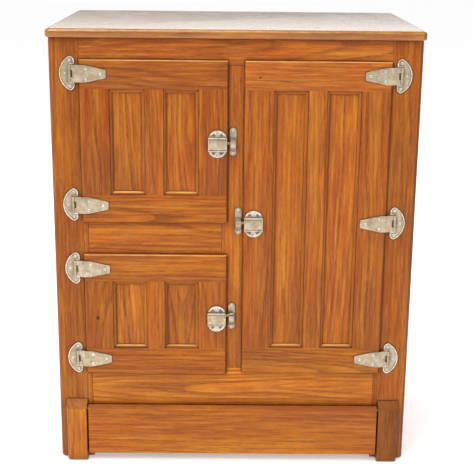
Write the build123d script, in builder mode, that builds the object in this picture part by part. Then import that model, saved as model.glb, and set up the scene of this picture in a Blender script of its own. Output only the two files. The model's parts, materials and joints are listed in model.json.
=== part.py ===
"""Oak household icebox with three doors, lever latches, zinc-lined chambers and a kick flap.

Millimetres. X runs left to right seen from the front, the doors face -Y and +Z is up.
The origin is the middle of the footprint, on the floor.
"""

from build123d import *
import os

# ---- driving dimensions -------------------------------------------------------------------------
CASE_WIDTH = 864.0  # 34 inches over the front posts
CASE_HEIGHT = 1053.0  # floor to the underside of the top board
TOP_THICKNESS = 21.0
TOP_SIDE_OVERHANG = 4.0
TOP_FRONT_OVERHANG = 16.0
TOP_BACK = 558.0  # front face of the case to the back edge of the top board
CASE_DEPTH = 552.0  # front face of the case to its back
LATCH_PROUD = 22.5  # the latch boxes are the frontmost thing on the icebox

FACE_Y = (LATCH_PROUD - TOP_BACK) / 2  # the front face of the posts and rails
HALF_WIDTH = CASE_WIDTH / 2

# Front frame
POST_WIDTH = 71.0
POST_DEPTH = 34.0
POST_ROUND = 12.0
JAMB_WIDTH = 12.0
FRAME_THICKNESS = 24.0
OPENING_LEFT = -HALF_WIDTH + POST_WIDTH + JAMB_WIDTH
OPENING_RIGHT = -OPENING_LEFT
STILE_LEFT = -30.0  # the centre stile between the left openings and the right one
STILE_RIGHT = 34.0
OPENING_TOP = 992.0
ICE_SILL = 630.0
FOOD_HEAD = 527.0
OPENING_BOTTOM = 246.0
BOTTOM_RAIL_FOOT = 128.0

# Side and back walls
SIDE_INSET = 2.0
SIDE_THICKNESS = 20.0
REAR_POST_WIDTH = 60.0
BACK_BOARD = 12.0
BACK_BOARD_COUNT = 8
SIDE_TOP_RAIL = (975.0, CASE_HEIGHT)
SIDE_MIDDLE_RAIL = (545.0, 615.0)
SIDE_BOTTOM_RAIL = (105.0, 195.0)

# Chambers
SHEET = 1.0  # zinc liner
CHAMBER_BACK = 490.0
CORE_BACK = CASE_DEPTH - BACK_BOARD
FLOOR_INSULATION = 45.0
FLOOR_BOARD = 16.0
PASSAGE_LOW = (255.0, 295.0)
PASSAGE_HIGH = (945.0, 985.0)
PASSAGE_Y = (60.0, 450.0)
FLUE_X = (-340.0, -40.0)
FLUE_Y = (435.0, 485.0)

# Doors
LIP_FRONT = 10.5  # the door's front face stands this far proud of the case
LIP_BACK = 1.0
DOOR_FRAME_BACK = 11.5  # behind the case's face
PLUG_BACK = 34.0
PLUG_GAP = 2.0
PLUG_TAPER = 6.0
DOOR_STILE = 68.0
DOOR_RAIL = 68.0
DOOR_MUNTIN = 42.0
DOOR_EDGE_ROUND = 5.0
PANEL_TONGUE = 7.0
PANEL_PROUD = 2.5  # the flat face of a panel, in front of the case's face
MOULDING_WIDTH = 9.0
MOULDING_HEIGHT = 5.0
MOULDING_FLAT = 2.2
MOULDING_BELLY = (5.6, 3.2)  # a point of the rounded slope, out from the frame and up from the panel

# Hinges, measured from the pin's axis
HINGE_FROM_CENTRE = 382.5
HINGE_AXIS_PROUD = 6.0
HINGE_STRAP_LENGTH = 84.0
KNUCKLE_RADIUS = 3.2
PIN_RADIUS = 1.5
PIN_CLEARANCE = 0.05
STRAP_HALF = 20.0
STRAP_THICKNESS = 2.5
CENTRE_KNUCKLE_HALF = 7.5
LEAF_THICKNESS = 2.2
PLATE_SCREWS = ((0.5, 30.0), (-13.0, 0.0), (0.5, -30.0))
STRAP_SCREWS = ((38.0, 11.5), (38.0, -11.5), (71.0, 0.0))

# Latches, measured from the middle of the latch case
LATCH_WIDTH = 44.0
LATCH_HEIGHT = 65.0
LATCH_BOX_HEIGHT = 33.0
LATCH_BOX_DEPTH = LATCH_PROUD - LIP_FRONT
LATCH_WALL = 2.0
LATCH_FLANGE = 3.0
LATCH_SCREWS = ((0.0, 25.0), (0.0, -25.0))
STRIKE_SCREWS = ((0.0, 27.0), (0.0, -27.0))
LEVER_RISE = 3.0
LEVER_REACH = 43.0
LEVER_PROUD = (12.0, 15.5)
STRIKE_REACH = 36.4
STRIKE_RISE = 4.5
STRIKE_SIZE = (66.0, 15.4)
STRIKE_BASE = 3.0
LEVER_PIVOT_RADIUS = 2.5

# Screw heads, by radius
SCREW_GAP = 0.1
PLATE_HEAD = 3.6
STRAP_HEAD = 4.0
LATCH_HEAD = 3.2
STRIKE_HEAD = 3.0

# Plinth
BLOCK_X = (363.0, 414.0)
BLOCK_PROUD = 20.0
BLOCK_TOP = (140.0, 160.0)
FLAP_HALF = 359.5
FLAP_FOOT = 20.0
FLAP_TOP = 148.0
FLAP_THICKNESS = 19.5
FLAP_GAP = 0.5
FLAP_PIN_RADIUS = 3.0

# Inside
RACK_PAN_X = (OPENING_LEFT + 4, STILE_LEFT - 4)
RACK_PAN_Y = (45.0, 425.0)
RACK_PAN_Z = (ICE_SILL, ICE_SILL + 30.0)
SLAT_COUNT = 7
PIPE_X = -325.0
PIPE_DEPTH = 400.0
PIPE_RADIUS = 12.0
DRIP_PAN = ((-345.0, -45.0), (130.0, 460.0), (0.0, 58.0))
SHELF_HEIGHTS = (430.0, 610.0, 790.0)
FOOD_SHELF_HEIGHT = 390.0
RUNNER = 10.0
WIRE_RADIUS = 1.6
SHELF_ROD_RADIUS = 3.0

os.makedirs("parts", exist_ok=True)


def save(piece, name):
    """Labels a finished piece and writes it under its node name."""
    piece.part.label = name
    export_step(piece.part, f"parts/{name}.step")


def depth(distance):
    """The Y of something a given distance behind the front face of the case."""
    return FACE_Y + distance


def front_plane(x, proud, z, toward=1):
    """A plane parallel to the front, facing forwards, with its x towards +X, or -X when toward is -1."""
    return Plane(origin=(x, FACE_Y - proud, z), x_dir=(toward, 0, 0), z_dir=(0, -1, 0))


def block(x, y, z, mode=Mode.ADD):
    """A rectangular block between two limits on each axis, with y counted back from the front face."""
    middle = (sum(x) / 2, depth(sum(y) / 2), sum(z) / 2)
    with Locations(middle):
        Box(x[1] - x[0], y[1] - y[0], z[1] - z[0], mode=mode)


def pipe_hole(z, radius=PIPE_RADIUS + 0.3):
    """A vertical hole for the drain pipe, between two heights."""
    with Locations((PIPE_X, depth(PIPE_DEPTH), sum(z) / 2)):
        Cylinder(radius, z[1] - z[0] + 2, mode=Mode.SUBTRACT)


def screw_places(plane, positions):
    """The places of several screws whose heads lie in one plane."""
    return [plane * Location((u, w, 0)) for u, w in positions]


def screws(places, head, mode=Mode.ADD, grow=0.0):
    """Slotted countersunk wood screws, or their countersinks when mode is SUBTRACT."""
    cone = 2.1
    shank = head / 2
    length = 16.0
    dome = 0.7
    inwards = (Align.CENTER, Align.CENTER, Align.MAX)
    with Locations(*places):
        Cone(shank + grow, head + grow, cone + grow, align=inwards, mode=mode)
    with Locations(*[place * Location((0, 0, -cone)) for place in places]):
        Cylinder(shank + grow, length, align=inwards, mode=mode)
    if mode == Mode.ADD:
        with Locations(*places):
            Cylinder(head - 0.4, dome, align=(Align.CENTER, Align.CENTER, Align.MIN))
            Box(2 * head, 0.8, 2 * dome + 0.6, mode=Mode.SUBTRACT)


# ---- case: top, posts and rails -----------------------------------------------------------------


def make_top_board():
    """The top board, with rounded corners in plan and a soft bullnose."""
    half = HALF_WIDTH + TOP_SIDE_OVERHANG
    middle = depth((TOP_BACK - TOP_FRONT_OVERHANG) / 2)
    with BuildPart() as top_board:
        with BuildSketch(Plane.XY.offset(CASE_HEIGHT)):
            with Locations((0, middle)):
                RectangleRounded(2 * half, TOP_BACK + TOP_FRONT_OVERHANG, 13)
        extrude(amount=TOP_THICKNESS)
        fillet(top_board.faces().sort_by(Axis.Z)[-1].edges(), 9)
        fillet(top_board.faces().sort_by(Axis.Z)[0].edges(), 5)
    save(top_board, "top_board")


def side_panel_grooves():
    """Grooves that take the tongues of the side panels, cut in whatever is being built."""
    for side in (-1, 1):
        for low, high in side_panel_heights():
            x = sorted(side * value for value in (HALF_WIDTH - 14.2, HALF_WIDTH - 7.8))
            reach = PANEL_TONGUE + 0.5
            block(x, side_panel_depths(reach), (low - reach, high + reach), Mode.SUBTRACT)


def side_panel_heights():
    """The lower and upper sight sizes of the two panels on each side."""
    return (
        (SIDE_BOTTOM_RAIL[1], SIDE_MIDDLE_RAIL[0]),
        (SIDE_MIDDLE_RAIL[1], SIDE_TOP_RAIL[0]),
    )


def side_panel_depths(reach=0.0):
    """The front and back limits of the side panels, with a reach into the posts."""
    return (POST_DEPTH - reach, CASE_DEPTH - POST_DEPTH + reach)


def front_post(side):
    """A front corner post, rounded on its outer corner and softened at the foot."""
    x = sorted((side * HALF_WIDTH, side * (HALF_WIDTH - POST_WIDTH)))
    with BuildPart() as post:
        with BuildSketch(Plane.XY):
            with Locations((sum(x) / 2, depth(POST_DEPTH / 2))):
                Rectangle(POST_WIDTH, POST_DEPTH)
            outer = vertices().group_by(Axis.Y)[0].sort_by(Axis.X)
            fillet(outer[0 if side < 0 else -1], POST_ROUND)
        extrude(amount=CASE_HEIGHT)
        chamfer(post.faces().sort_by(Axis.Z)[0].edges(), 4)
        side_panel_grooves()
    return post.part


def make_front_posts():
    """The two front corner posts."""
    with BuildPart() as posts:
        add([front_post(-1), front_post(1)])
    save(posts, "front_posts")


def make_rear_posts():
    """The two rear corner posts."""
    with BuildPart() as posts:
        for side in (-1, 1):
            x = sorted((side * HALF_WIDTH, side * (HALF_WIDTH - REAR_POST_WIDTH)))
            block(x, (CASE_DEPTH - POST_DEPTH, CASE_DEPTH), (0, CASE_HEIGHT))
        chamfer(posts.faces().filter_by(Axis.Z).group_by(Axis.Z)[0].edges(), 4)
        side_panel_grooves()
    save(posts, "rear_posts")


def make_front_frame():
    """The strips, stile and rails that frame the three door openings."""
    frame = (0, FRAME_THICKNESS)
    with BuildPart() as jamb_strips:
        for side in (-1, 1):
            x = sorted((side * (HALF_WIDTH - POST_WIDTH), side * OPENING_RIGHT))
            block(x, frame, (4, OPENING_TOP))
    save(jamb_strips, "jamb_strips")
    with BuildPart() as centre_stile:
        block((STILE_LEFT, STILE_RIGHT), frame, (OPENING_BOTTOM, OPENING_TOP))
    save(centre_stile, "centre_stile")
    with BuildPart() as top_rail:
        inner = HALF_WIDTH - POST_WIDTH
        block((-inner, inner), frame, (OPENING_TOP, CASE_HEIGHT))
    save(top_rail, "top_rail")
    with BuildPart() as middle_rail:
        block((OPENING_LEFT, STILE_LEFT), frame, (FOOD_HEAD, ICE_SILL))
    save(middle_rail, "middle_rail")
    with BuildPart() as bottom_rail:
        block((OPENING_LEFT, OPENING_RIGHT), frame, (BOTTOM_RAIL_FOOT, OPENING_BOTTOM))
    save(bottom_rail, "bottom_rail")


def make_side_walls():
    """Three rails and two raised panels on each side, between the posts."""
    rails = (SIDE_TOP_RAIL, SIDE_MIDDLE_RAIL, SIDE_BOTTOM_RAIL)
    outer = HALF_WIDTH - SIDE_INSET
    with BuildPart() as side_rails:
        for side in (-1, 1):
            x = sorted((side * outer, side * (outer - SIDE_THICKNESS)))
            for z in rails:
                block(x, side_panel_depths(), z)
        side_panel_grooves()
    save(side_rails, "side_rails")
    with BuildPart() as side_panels:
        for side in (-1, 1):
            for low, high in side_panel_heights():
                add(side_panel(side, low, high))
    save(side_panels, "side_panels")


def side_panel(side, low, high):
    """One raised panel: a tongued board with a field that stands up out of a bevel."""
    rise = 3.0
    bevel = 24.0
    reach = PANEL_TONGUE
    length = CASE_DEPTH - 2 * POST_DEPTH
    height = high - low
    tongue_x = sorted(side * value for value in (HALF_WIDTH - 14, HALF_WIDTH - 8))
    outside = Plane(
        origin=(side * (HALF_WIDTH - 8), depth(CASE_DEPTH / 2), (low + high) / 2),
        x_dir=(0, side, 0),
        z_dir=(side, 0, 0),
    )
    with BuildPart() as panel:
        block(tongue_x, side_panel_depths(reach), (low - reach, high + reach))
        with BuildSketch(outside):
            Rectangle(length - 2, height - 2)
        with BuildSketch(outside.offset(rise)):
            Rectangle(length - 2 * bevel, height - 2 * bevel)
        loft()
    return panel.part


def make_back_boards():
    """Level boards across the back, between the rear posts."""
    gap = 0.6
    inner = HALF_WIDTH - REAR_POST_WIDTH
    low = SIDE_BOTTOM_RAIL[0]
    pitch = (CASE_HEIGHT - low) / BACK_BOARD_COUNT
    with BuildPart() as back_boards:
        for index in range(BACK_BOARD_COUNT):
            foot = low + index * pitch
            block((-inner, inner), (CORE_BACK, CASE_DEPTH), (foot + gap, foot + pitch - gap))
        outside = back_boards.edges().filter_by(Axis.X).group_by(Axis.Y)[-1]
        chamfer(outside, 2)
    save(back_boards, "back_boards")


# ---- case: insulation, liners and what is inside --------------------------------------------------


def make_insulation():
    """Slabs of insulation at the sides, back, top and floor, each one behind a liner."""
    wall = OPENING_RIGHT + SHEET
    side_outer = HALF_WIDTH - SIDE_INSET - SIDE_THICKNESS
    across = (-wall, wall)
    behind = (FRAME_THICKNESS + SHEET, CORE_BACK)
    floor = OPENING_BOTTOM - SHEET
    with BuildPart() as case_insulation:
        for side in (-1, 1):
            x = sorted((side * (wall + 0.2), side * side_outer))
            block(x, (POST_DEPTH, CASE_DEPTH - POST_DEPTH), (floor, OPENING_TOP + SHEET))
        block(across, (CHAMBER_BACK + SHEET, CORE_BACK), (floor + 0.2, OPENING_TOP + SHEET - 0.2))
        block(across, behind, (OPENING_TOP + SHEET, CASE_HEIGHT - 1))
        block(across, behind, (floor - FLOOR_INSULATION, floor))
        pipe_hole((floor - FLOOR_INSULATION, floor))
    save(case_insulation, "case_insulation")
    with BuildPart() as floor_boards:
        foot = floor - FLOOR_INSULATION - FLOOR_BOARD
        block(across, behind, (foot, foot + FLOOR_BOARD))
        pipe_hole((foot, foot + FLOOR_BOARD))
    save(floor_boards, "floor_boards")
    with BuildPart() as partition:
        x = (STILE_LEFT + SHEET, STILE_RIGHT - SHEET)
        through = (x[0] - 1, x[1] + 1)
        block(x, (FRAME_THICKNESS, CHAMBER_BACK), (OPENING_BOTTOM - SHEET, OPENING_TOP + SHEET))
        block(through, PASSAGE_Y, PASSAGE_LOW, Mode.SUBTRACT)
        block(through, PASSAGE_Y, PASSAGE_HIGH, Mode.SUBTRACT)
    save(partition, "partition")
    with BuildPart() as ice_deck:
        x = (OPENING_LEFT - SHEET, STILE_LEFT + SHEET)
        z = (FOOD_HEAD + SHEET, ICE_SILL - SHEET)
        block(x, (FRAME_THICKNESS, CHAMBER_BACK), z)
        block(FLUE_X, FLUE_Y, (z[0] - 1, z[1] + 1), Mode.SUBTRACT)
        pipe_hole(z)
    save(ice_deck, "ice_deck")


def make_liner(name, x, z, windows, pipe_heights=None):
    """A zinc box, open at the front, with air windows cut through its sheet."""
    y = (FRAME_THICKNESS, CHAMBER_BACK)
    with BuildPart() as liner:
        block((x[0] - SHEET, x[1] + SHEET), (y[0], y[1] + SHEET), (z[0] - SHEET, z[1] + SHEET))
        block(x, (y[0] - 1, y[1]), z, Mode.SUBTRACT)
        for window_x, window_y, window_z in windows:
            block(window_x, window_y, window_z, Mode.SUBTRACT)
        if pipe_heights:
            pipe_hole(pipe_heights)
    save(liner, name)


def make_liners():
    """The three chambers, joined by a flue behind the ice deck and by two passages through the partition."""
    left = (OPENING_LEFT, STILE_LEFT)
    right = (STILE_RIGHT, OPENING_RIGHT)
    through_left = (STILE_LEFT - 2, STILE_LEFT + 2)
    through_right = (STILE_RIGHT - 2, STILE_RIGHT + 2)
    make_liner(
        "ice_chamber_liner",
        left,
        (ICE_SILL, OPENING_TOP),
        [
            (through_left, PASSAGE_Y, PASSAGE_HIGH),
            (FLUE_X, FLUE_Y, (ICE_SILL - 2, ICE_SILL + 2)),
        ],
        (ICE_SILL - 2, ICE_SILL + 2),
    )
    make_liner(
        "food_chamber_liner",
        left,
        (OPENING_BOTTOM, FOOD_HEAD),
        [
            (through_left, PASSAGE_Y, PASSAGE_LOW),
            (FLUE_X, FLUE_Y, (FOOD_HEAD - 2, FOOD_HEAD + 2)),
        ],
        (OPENING_BOTTOM - 2, FOOD_HEAD + 2),
    )
    make_liner(
        "provision_chamber_liner",
        right,
        (OPENING_BOTTOM, OPENING_TOP),
        [(through_right, PASSAGE_Y, PASSAGE_LOW), (through_right, PASSAGE_Y, PASSAGE_HIGH)],
    )


def make_pan(name, x, y, z, sheet, outlet=None):
    """An open sheet-metal pan with a rolled rim, and an outlet hole when it drains into the pipe."""
    rim = 3.0
    with BuildPart() as pan:
        block(x, y, z)
        block(
            (x[0] + sheet, x[1] - sheet),
            (y[0] + sheet, y[1] - sheet),
            (z[0] + sheet, z[1] + 1),
            Mode.SUBTRACT,
        )
        with BuildSketch(Plane.XY.offset(z[1] - rim)):
            with Locations((sum(x) / 2, depth(sum(y) / 2))):
                Rectangle(x[1] - x[0] + rim, y[1] - y[0] + rim)
                Rectangle(x[1] - x[0] - 2 * sheet, y[1] - y[0] - 2 * sheet, mode=Mode.SUBTRACT)
        extrude(amount=rim)
        if outlet:
            with Locations((PIPE_X, depth(PIPE_DEPTH), z[0])):
                Cylinder(outlet, 4 * sheet, mode=Mode.SUBTRACT)
    save(pan, name)


def make_ice_rack():
    """A slatted rack that stands in the drain pan and carries the ice."""
    x = (OPENING_LEFT + 10, STILE_LEFT - 10)
    y = (RACK_PAN_Y[0] + 6, RACK_PAN_Y[1] - 6)
    foot = ICE_SILL + 2
    cleat = 14.0
    slat_width = 24.0
    slat_thickness = 14.0
    pitch = (x[1] - x[0] - slat_width) / (SLAT_COUNT - 1)
    with BuildPart() as ice_rack:
        for cleat_y in (y[0] + 30, y[1] - 80):
            block(x, (cleat_y, cleat_y + 22), (foot, foot + cleat))
        for index in range(SLAT_COUNT):
            left = x[0] + index * pitch
            slat_foot = foot + cleat + 0.1
            block((left, left + slat_width), y, (slat_foot, slat_foot + slat_thickness))
    save(ice_rack, "ice_rack")


def make_drain_pipe():
    """The pipe that carries melt water from the drain pan to the drip pan below the floor."""
    foot = 75.0
    head = ICE_SILL
    with BuildPart() as drain_pipe:
        with Locations((PIPE_X, depth(PIPE_DEPTH), foot)):
            Cylinder(
                PIPE_RADIUS, head - foot, align=(Align.CENTER, Align.CENTER, Align.MIN)
            )
            Cylinder(
                PIPE_RADIUS - 1.5,
                head - foot,
                align=(Align.CENTER, Align.CENTER, Align.MIN),
                mode=Mode.SUBTRACT,
            )
    save(drain_pipe, "drain_pipe")


def wire_shelf(x, y, wires):
    """A welded wire shelf: a rod frame, two cross rods and wires that run front to back."""
    rod = SHELF_ROD_RADIUS
    middle = sum(x) / 2
    third = (y[1] - y[0]) / 3
    across = [y[0] + rod, y[0] + third, y[1] - third, y[1] - rod]
    pitch = (x[1] - x[0]) / (wires + 1)
    along = [x[0] + (index + 1) * pitch for index in range(wires)]
    with BuildPart() as shelf:
        with Locations(*[(middle, depth(place), rod) for place in across]):
            Cylinder(rod, x[1] - x[0], rotation=(0, 90, 0))
        with Locations(*[(place, depth(sum(y) / 2), rod) for place in (x[0] + rod, x[1] - rod)]):
            Cylinder(rod, y[1] - y[0], rotation=(90, 0, 0))
        with Locations(*[(place, depth(sum(y) / 2), 2 * rod - 0.4) for place in along]):
            Cylinder(WIRE_RADIUS, y[1] - y[0] - 2 * rod, rotation=(90, 0, 0))
    return shelf.part


def make_shelves():
    """Runners on the chamber walls and the wire shelves that lie on them."""
    y = (FRAME_THICKNESS + 21, 480.0)
    food_y = (y[0], PIPE_DEPTH - PIPE_RADIUS - 8)
    with BuildPart() as shelf_runners:
        for height in SHELF_HEIGHTS:
            z = (height - RUNNER, height)
            block((STILE_RIGHT, STILE_RIGHT + RUNNER), y, z)
            block((OPENING_RIGHT - RUNNER, OPENING_RIGHT), y, z)
        z = (FOOD_SHELF_HEIGHT - RUNNER, FOOD_SHELF_HEIGHT)
        block((OPENING_LEFT, OPENING_LEFT + RUNNER), food_y, z)
        block((STILE_LEFT - RUNNER, STILE_LEFT), food_y, z)
    save(shelf_runners, "shelf_runners")
    food_shelf = wire_shelf((OPENING_LEFT + 2, STILE_LEFT - 2), food_y, 12)
    provision_shelf = wire_shelf((STILE_RIGHT + 2, OPENING_RIGHT - 2), y, 12)
    with BuildPart() as wire_shelves:
        with Locations((0, 0, FOOD_SHELF_HEIGHT)):
            add(food_shelf)
        with Locations(*[(0, 0, height) for height in SHELF_HEIGHTS]):
            add(provision_shelf)
    save(wire_shelves, "wire_shelves")


# ---- plinth -------------------------------------------------------------------------------------


def flap_pin(side, x, radius, length, mode=Mode.ADD):
    """A level pin at one end of the kick flap, or its hole."""
    y = FACE_Y - FLAP_GAP - FLAP_THICKNESS / 2
    z = FLAP_TOP - FLAP_THICKNESS / 2
    with Locations((side * x, y, z)):
        Cylinder(radius, length, rotation=(0, 90, 0), mode=mode)


def make_foot_blocks():
    """The two applied blocks at the foot of the front posts, with bevelled tops."""
    front = FACE_Y - BLOCK_PROUD
    blocks = []
    for side in (-1, 1):
        x = sorted(side * value for value in BLOCK_X)
        with BuildPart() as foot_block:
            with BuildSketch(Plane.YZ.offset(x[0])):
                with BuildLine():
                    Polyline(
                        (FACE_Y, 0),
                        (front, 0),
                        (front, BLOCK_TOP[0]),
                        (FACE_Y - 2, BLOCK_TOP[1]),
                        (FACE_Y, BLOCK_TOP[1]),
                        close=True,
                    )
                make_face()
            extrude(amount=x[1] - x[0])
            upright = foot_block.edges().filter_by(Axis.Z).group_by(Axis.Y)[0].sort_by(Axis.X)
            outer = upright[0 if side < 0 else -1]
            fillet(upright - [outer], 3)
            fillet(outer, 8)
            foot = foot_block.faces().sort_by(Axis.Z)[0]
            chamfer(foot.edges().sort_by(Axis.Y)[:-1], 3)
            flap_pin(side, BLOCK_X[0], FLAP_PIN_RADIUS, 40, Mode.SUBTRACT)
        blocks.append(foot_block.part)
    with BuildPart() as foot_blocks:
        add(blocks)
    save(foot_blocks, "foot_blocks")


def make_kick_flap():
    """The board between the foot blocks, round along its top edge and hung on two pins."""
    radius = FLAP_THICKNESS / 2
    back = FACE_Y - FLAP_GAP
    front = back - FLAP_THICKNESS
    pin_z = FLAP_TOP - radius
    pin_y = back - radius
    with BuildPart() as kick_flap:
        with BuildSketch(Plane.YZ.offset(-FLAP_HALF)):
            with BuildLine():
                Line((back, pin_z), (back, FLAP_FOOT))
                Line((back, FLAP_FOOT), (front, FLAP_FOOT))
                Line((front, FLAP_FOOT), (front, pin_z))
                ThreePointArc((front, pin_z), (pin_y, FLAP_TOP), (back, pin_z))
            make_face()
        extrude(amount=2 * FLAP_HALF)
        foot = kick_flap.faces().sort_by(Axis.Z)[0]
        fillet(foot.edges().filter_by(Axis.X), 2.5)
        for side in (-1, 1):
            flap_pin(side, FLAP_HALF, FLAP_PIN_RADIUS + PIN_CLEARANCE, 32, Mode.SUBTRACT)
    save(kick_flap, "kick_flap")


# ---- doors --------------------------------------------------------------------------------------


class Door:
    """One lipped door: its front outline, its opening, its hinge side and where its hardware sits."""

    def __init__(self, name, opening_x, opening_z, lip, hinge_side, hinges, latch_z, lever_tilt):
        self.name = name
        self.opening_x = opening_x
        self.opening_z = opening_z
        self.x = (opening_x[0] - lip[0], opening_x[1] + lip[1])
        self.z = (opening_z[0] - lip[2], opening_z[1] + lip[3])
        self.hinge_side = hinge_side
        self.hinges = hinges
        self.latch_z = latch_z
        self.lever_tilt = lever_tilt

    def rabbet(self):
        """Cuts the step that lets the door's back half into its opening."""
        gap = PLUG_GAP
        inside_x = (self.opening_x[0] + gap, self.opening_x[1] - gap)
        inside_z = (self.opening_z[0] + gap, self.opening_z[1] - gap)
        behind = (-LIP_BACK, DOOR_FRAME_BACK + 1)
        wide = (self.x[0] - 1, self.x[1] + 1)
        tall = (self.z[0] - 1, self.z[1] + 1)
        block((wide[0], inside_x[0]), behind, tall, Mode.SUBTRACT)
        block((inside_x[1], wide[1]), behind, tall, Mode.SUBTRACT)
        block(wide, behind, (tall[0], inside_z[0]), Mode.SUBTRACT)
        block(wide, behind, (inside_z[1], tall[1]), Mode.SUBTRACT)

    def panels(self):
        """The sight sizes of the two panels, left and right of the muntin."""
        low = self.x[0] + DOOR_STILE
        high = self.x[1] - DOOR_STILE
        middle = (low + high) / 2
        z = (self.z[0] + DOOR_RAIL, self.z[1] - DOOR_RAIL)
        return (
            ((low, middle - DOOR_MUNTIN / 2), z),
            ((middle + DOOR_MUNTIN / 2, high), z),
        )

    def grooves(self):
        """Grooves for the tongues of the panels."""
        reach = PANEL_TONGUE + 0.5
        for x, z in self.panels():
            wide = (x[0] - reach, x[1] + reach)
            tall = (z[0] - reach, z[1] + reach)
            block(wide, (-1.0, 6.0), tall, Mode.SUBTRACT)

    def strap_plane(self, z):
        """The plane of a hinge, with its origin on the front face of the case at the pin."""
        return front_plane(self.hinge_side * HINGE_FROM_CENTRE, 0, z, -self.hinge_side)

    def latch_x(self):
        """The middle of the latch case, on the stile away from the hinges."""
        edge = self.x[1] if self.hinge_side < 0 else self.x[0]
        return edge + self.hinge_side * (LATCH_WIDTH / 2 + 2.3)

    def latch_plane(self):
        """The plane of the latch, on the door's face."""
        return front_plane(self.latch_x(), LIP_FRONT, self.latch_z)


def round_front_edges(piece, door):
    """Softens the outer front edges of the door's stiles or rails."""
    front = FACE_Y - LIP_FRONT
    outer = [
        edge
        for edge in piece.edges()
        if abs(edge.center().Y - front) < 0.01
        and (
            min(abs(edge.center().X - x) for x in door.x) < 0.01
            or min(abs(edge.center().Z - z) for z in door.z) < 0.01
        )
    ]
    fillet(outer, DOOR_EDGE_ROUND)


def make_door_frame(door):
    """Rails that run the full width of the door, with two stiles and a muntin between them."""
    y = (-LIP_FRONT, DOOR_FRAME_BACK)
    rails_inner = (door.z[0] + DOOR_RAIL, door.z[1] - DOOR_RAIL)
    with BuildPart() as rails:
        block(door.x, y, (door.z[0], rails_inner[0]))
        block(door.x, y, (rails_inner[1], door.z[1]))
        door.rabbet()
        door.grooves()
        round_front_edges(rails, door)
    save(rails, f"{door.name}_door_rails")
    middle = sum(door.x) / 2
    with BuildPart() as stiles:
        block((door.x[0], door.x[0] + DOOR_STILE), y, rails_inner)
        block((door.x[1] - DOOR_STILE, door.x[1]), y, rails_inner)
        block((middle - DOOR_MUNTIN / 2, middle + DOOR_MUNTIN / 2), y, rails_inner)
        door.rabbet()
        door.grooves()
        round_front_edges(stiles, door)
    save(stiles, f"{door.name}_door_stiles")


def door_panel(x, z):
    """One flat panel, with a tongue all round that is held in the grooves of the frame."""
    reach = PANEL_TONGUE
    gap = 0.5
    with BuildPart() as panel:
        block((x[0] - reach, x[1] + reach), (-0.8, 5.8), (z[0] - reach, z[1] + reach))
        block((x[0] + gap, x[1] - gap), (-PANEL_PROUD, 0), (z[0] + gap, z[1] - gap))
    return panel.part


def moulding_strip(plane, length):
    """One strip of moulding along the plane's x, against the frame, with mitred ends."""
    end = length / 2
    width = MOULDING_WIDTH
    high = MOULDING_HEIGHT
    flat = MOULDING_FLAT
    step = 0.8
    start = plane * Location((-end, 0, 0))
    side = Plane(origin=start.position, x_dir=plane.y_dir, z_dir=plane.x_dir)
    with BuildPart() as strip:
        with BuildSketch(side):
            with BuildLine():
                Polyline((width - 1, step), (width, step), (width, 0), (0, 0), (0, high))
                Polyline((0, high), (flat, high), (flat, high - step))
                ThreePointArc((flat, high - step), MOULDING_BELLY, (width - 1, step))
            make_face()
        extrude(amount=length)
        with BuildSketch(plane):
            Polygon(
                (-end, 0),
                (end, 0),
                (end - width, width),
                (width - end, width),
                align=None,
            )
        extrude(amount=high + 1, mode=Mode.INTERSECT)
    return strip.part


def moulding_frame(x, z):
    """The four strips round one panel, a hair apart at their mitres and clear of the frame."""
    gap = 0.1
    middle_x = sum(x) / 2
    middle_z = sum(z) / 2
    wide = x[1] - x[0] - 4 * gap
    tall = z[1] - z[0] - 4 * gap
    y = FACE_Y - PANEL_PROUD
    towards_viewer = (0, -1, 0)
    places = (
        ((middle_x, y, z[0] + gap), (1, 0, 0), wide),
        ((middle_x, y, z[1] - gap), (-1, 0, 0), wide),
        ((x[0] + gap, y, middle_z), (0, 0, -1), tall),
        ((x[1] - gap, y, middle_z), (0, 0, 1), tall),
    )
    return [
        moulding_strip(Plane(origin=origin, x_dir=along, z_dir=towards_viewer), length)
        for origin, along, length in places
    ]


def make_door_panels(door):
    """The two flat panels of a door, and the mitred mouldings round them."""
    with BuildPart() as panels:
        add([door_panel(x, z) for x, z in door.panels()])
    save(panels, f"{door.name}_door_panels")
    with BuildPart() as mouldings:
        for x, z in door.panels():
            add(moulding_frame(x, z))
    save(mouldings, f"{door.name}_door_mouldings")


def plug_section(door, inset, behind):
    """A rectangle inside the door's opening, at a distance behind the case's face."""
    width = door.opening_x[1] - door.opening_x[0] - 2 * inset
    height = door.opening_z[1] - door.opening_z[0] - 2 * inset
    middle = front_plane(sum(door.opening_x) / 2, -behind, sum(door.opening_z) / 2)
    with BuildSketch(middle) as section:
        Rectangle(width, height)
    return section.sketch


def make_door_plug(door):
    """The tapered insulated plug behind the door's frame, and the zinc pan that covers it."""
    with BuildPart() as core:
        loft(
            sections=[
                plug_section(door, PLUG_GAP + SHEET, DOOR_FRAME_BACK),
                plug_section(door, PLUG_TAPER + SHEET, PLUG_BACK),
            ]
        )
    save(core, f"{door.name}_door_insulation")
    with BuildPart() as liner:
        loft(
            sections=[
                plug_section(door, PLUG_GAP, DOOR_FRAME_BACK),
                plug_section(door, PLUG_TAPER, PLUG_BACK + SHEET),
            ]
        )
        add(core.part, mode=Mode.SUBTRACT)
    save(liner, f"{door.name}_door_liner")


# ---- hinges -------------------------------------------------------------------------------------


def knuckle(plane, low, high, radius, mode=Mode.ADD):
    """A barrel about the hinge pin between two heights of the hinge."""
    axis_plane = plane * Location((0, (low + high) / 2, HINGE_AXIS_PROUD))
    with Locations(axis_plane):
        Cylinder(radius, high - low, rotation=(90, 0, 0), mode=mode)


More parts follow.
